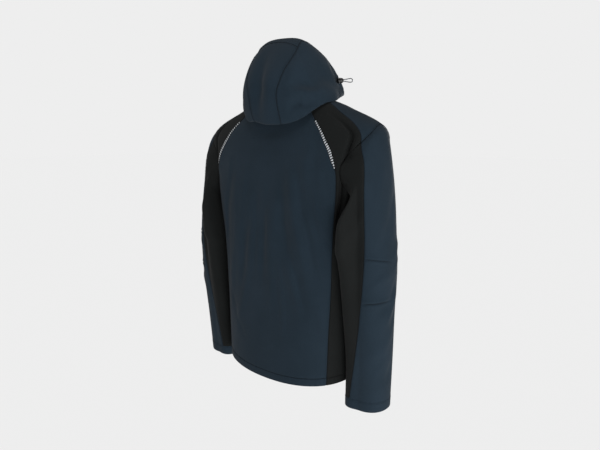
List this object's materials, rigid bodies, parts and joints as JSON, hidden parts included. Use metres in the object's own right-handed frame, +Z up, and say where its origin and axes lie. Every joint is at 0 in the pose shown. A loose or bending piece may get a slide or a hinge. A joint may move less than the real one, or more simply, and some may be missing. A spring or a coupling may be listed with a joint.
{
  "type": "softshell jacket",
  "caption": "Hooded softshell work jacket in its worn shape with nobody in it, with contrast side panels, reflective back trims, stand collar and full front zip.",
  "frame": {"origin": "middle of the neck, between the shoulders, where the wearer's neck carries the jacket", "axes": "+Z up, the front faces -Y, +X is the wearer's left"},
  "size_m": [0.6089, 0.2653, 0.8892],
  "materials": {
    "navy_softshell": "matte bonded softshell",
    "black_softshell": "matte bonded softshell",
    "reflective_trim": "reflective tape",
    "zip_tape": "woven tape",
    "black_plastic": "moulded",
    "dark_metal": "dark nickel",
    "cord": "braided, with pale flecks"
  },
  "bodies": {
    "jacket": {"back": "navy_softshell", "side_left": "black_softshell", "side_right": "black_softshell", "front_left": "navy_softshell", "front_right": "navy_softshell", "sleeve_back_left": "black_softshell", "sleeve_back_right": "black_softshell", "sleeve_front_left": "navy_softshell", "sleeve_front_right": "navy_softshell", "cuff_left": "navy_softshell", "cuff_right": "navy_softshell", "collar": "navy_softshell", "hood_brim": "navy_softshell", "hood_strip": "navy_softshell", "hood_side_left": "navy_softshell", "hood_side_right": "navy_softshell", "trim_left": "reflective_trim", "trim_right": "reflective_trim", "zip_tape_left": "zip_tape", "zip_tape_right": "zip_tape", "zip_chain": "black_plastic", "zip_slider": "dark_metal", "cord_lock_left": "black_plastic", "cord_lock_right": "black_plastic", "drawcord_left": "cord", "drawcord_right": "cord"},
    "pull_tab": {"zip_pull": "dark_metal"}
  },
  "joints": [
    {"name": "pull_tab_hinge", "type": "hinge", "parent": "jacket", "child": "pull_tab", "pos_m": [0, -0.09823, -0.00214], "axis": [-1, 0, 0], "range_deg": [0, 150]}
  ]
}
